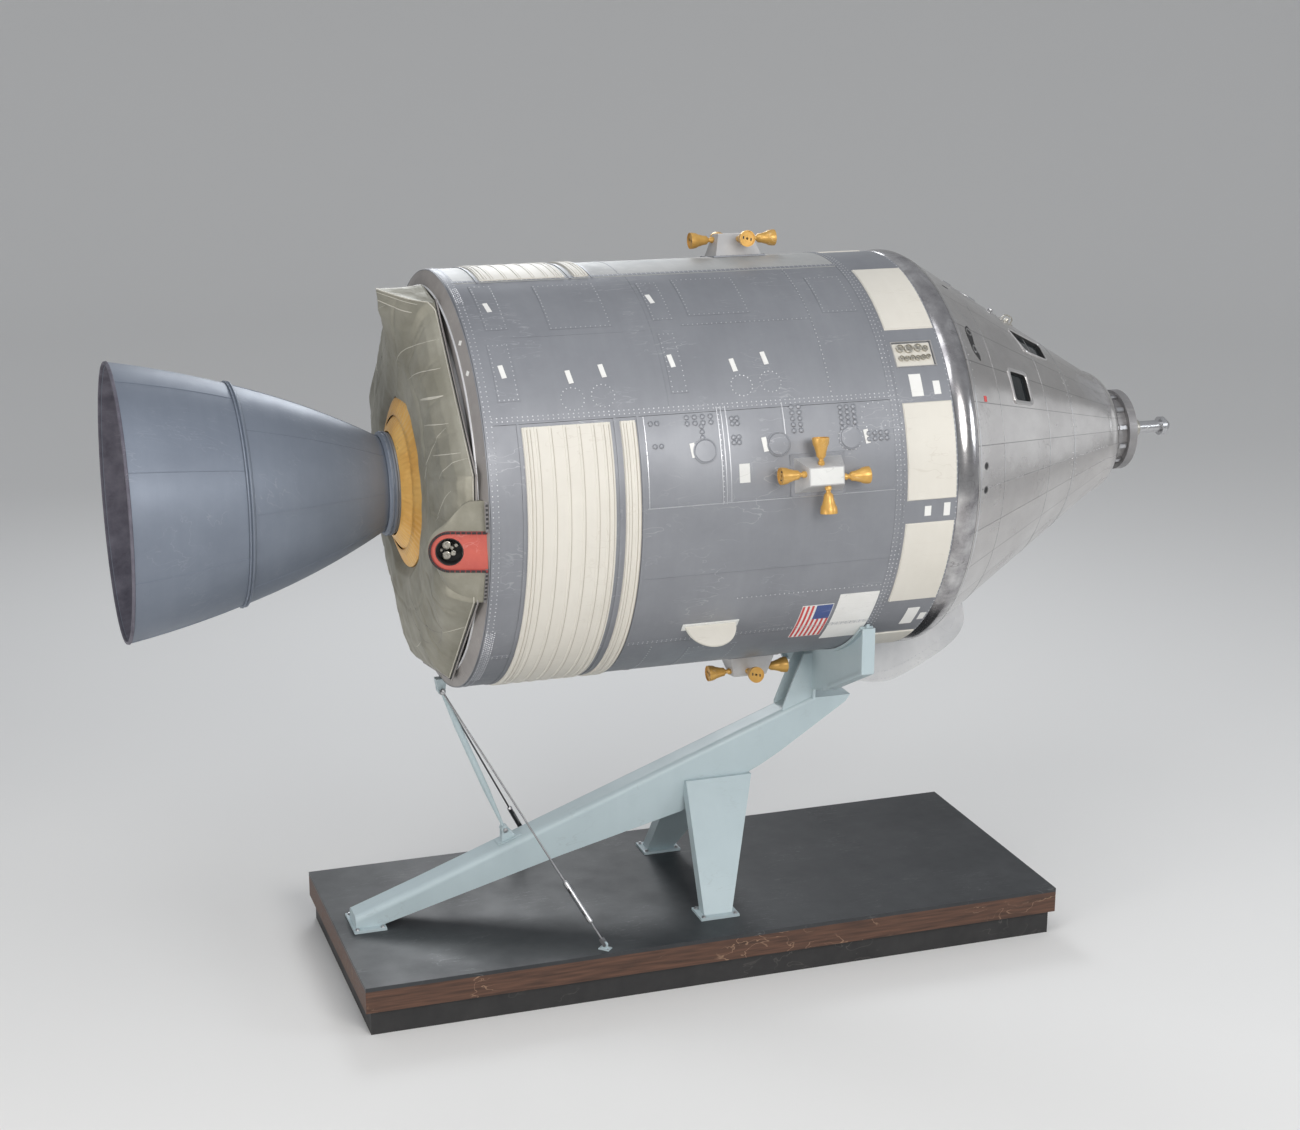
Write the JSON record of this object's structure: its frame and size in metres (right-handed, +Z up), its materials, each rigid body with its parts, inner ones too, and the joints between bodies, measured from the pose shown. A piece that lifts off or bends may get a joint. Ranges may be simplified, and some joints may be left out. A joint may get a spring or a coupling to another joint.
{
  "type": "space capsule on its display stand",
  "caption": "Cone-shaped crew capsule on a cylindrical service module with a bell engine and thruster quads, carried nose-high on a beam stand and low plinth.",
  "frame": {"origin": "centre of the plinth underside, below the middle of the overall length", "axes": "+X along the vehicle axis to the nose, +Z up"},
  "size_m": [10.8, 4.4358, 7.1179],
  "materials": {
    "hull_grey": "satin",
    "radiator_white": "matte",
    "quad_white": "satin",
    "horn_gold": "satin",
    "foil_silver": "polished",
    "foil_olive": "satin",
    "boot_gold": "satin",
    "recess_red": "satin",
    "nozzle_metal": "satin",
    "shield_grey": "matte",
    "inner_metal": "satin",
    "connector_metal": "satin",
    "bare_steel": "brushed",
    "stand_paint": "satin",
    "plinth_wood": "satin",
    "plinth_dark": "matte",
    "deck_slate": "matte",
    "window_glass": "clear",
    "couch_fabric": "matte",
    "console_grey": "matte"
  },
  "bodies": {
    "craft": {"plinth_base": "plinth_dark", "plinth_trim": "plinth_wood", "plinth_deck": "deck_slate", "stand_beam": "stand_paint", "stand_legs": "stand_paint", "foot_plates": "stand_paint", "saddle": "stand_paint", "head_gussets": "stand_paint", "rear_strut": "stand_paint", "strut_brackets": "stand_paint", "stay_rods": "bare_steel", "turnbuckles": "bare_steel", "deck_eyes": "stand_paint", "service_core": "inner_metal", "engine_bay_wall": "inner_metal", "aft_skirt": "hull_grey", "bay_panels": "hull_grey", "space_radiators": "radiator_white", "quad_housings": "quad_white", "quad_horns": "horn_gold", "scimitar_antennas": "radiator_white", "fairing_ring": "hull_grey", "fairing_radiators": "radiator_white", "umbilical_connectors": "connector_metal", "aft_blanket": "foil_olive", "antenna_recess": "recess_red", "boot_ring": "boot_gold", "umbilical_housing": "quad_white", "capsule_heat_shield": "shield_grey", "cabin_windows": "window_glass", "capsule_ports": "bare_steel", "crew_shell": "foil_silver", "forward_shield": "foil_silver", "docking_tunnel": "shield_grey", "probe_body": "bare_steel", "crew_couches": "couch_fabric", "display_console": "console_grey"},
    "gimbal_ring": {"gimbal_ring": "inner_metal"},
    "engine": {"nozzle_extension": "nozzle_metal", "nozzle_exit_rim": "bare_steel", "nozzle_joint_ring": "nozzle_metal", "nozzle_bell": "nozzle_metal", "neck_flange": "nozzle_metal", "boot_collar": "boot_gold", "engine_block": "inner_metal"},
    "hatch": {"side_hatch": "foil_silver", "hatch_window": "window_glass"},
    "probe": {"probe_head": "bare_steel"}
  },
  "joints": [
    {"name": "engine_pitch", "type": "hinge", "parent": "craft", "child": "gimbal_ring", "pos_m": [-2, 0, 4.9], "axis": [0, 1, 0], "range_deg": [-4.5, 4.5]},
    {"name": "engine_yaw", "type": "hinge", "parent": "gimbal_ring", "child": "engine", "pos_m": [-2, 0, 4.9], "axis": [0, 0, 1], "range_deg": [-4.5, 4.5]},
    {"name": "hatch_hinge", "type": "hinge", "parent": "craft", "child": "hatch", "pos_m": [2.91515, 0.416, 6.37088], "axis": [-0.8536, 0, 0.521], "range_deg": [0, 100]},
    {"name": "probe_slide", "type": "slide", "parent": "craft", "child": "probe", "axis": [1, 0, 0], "range_m": [-0.25, 0]}
  ]
}
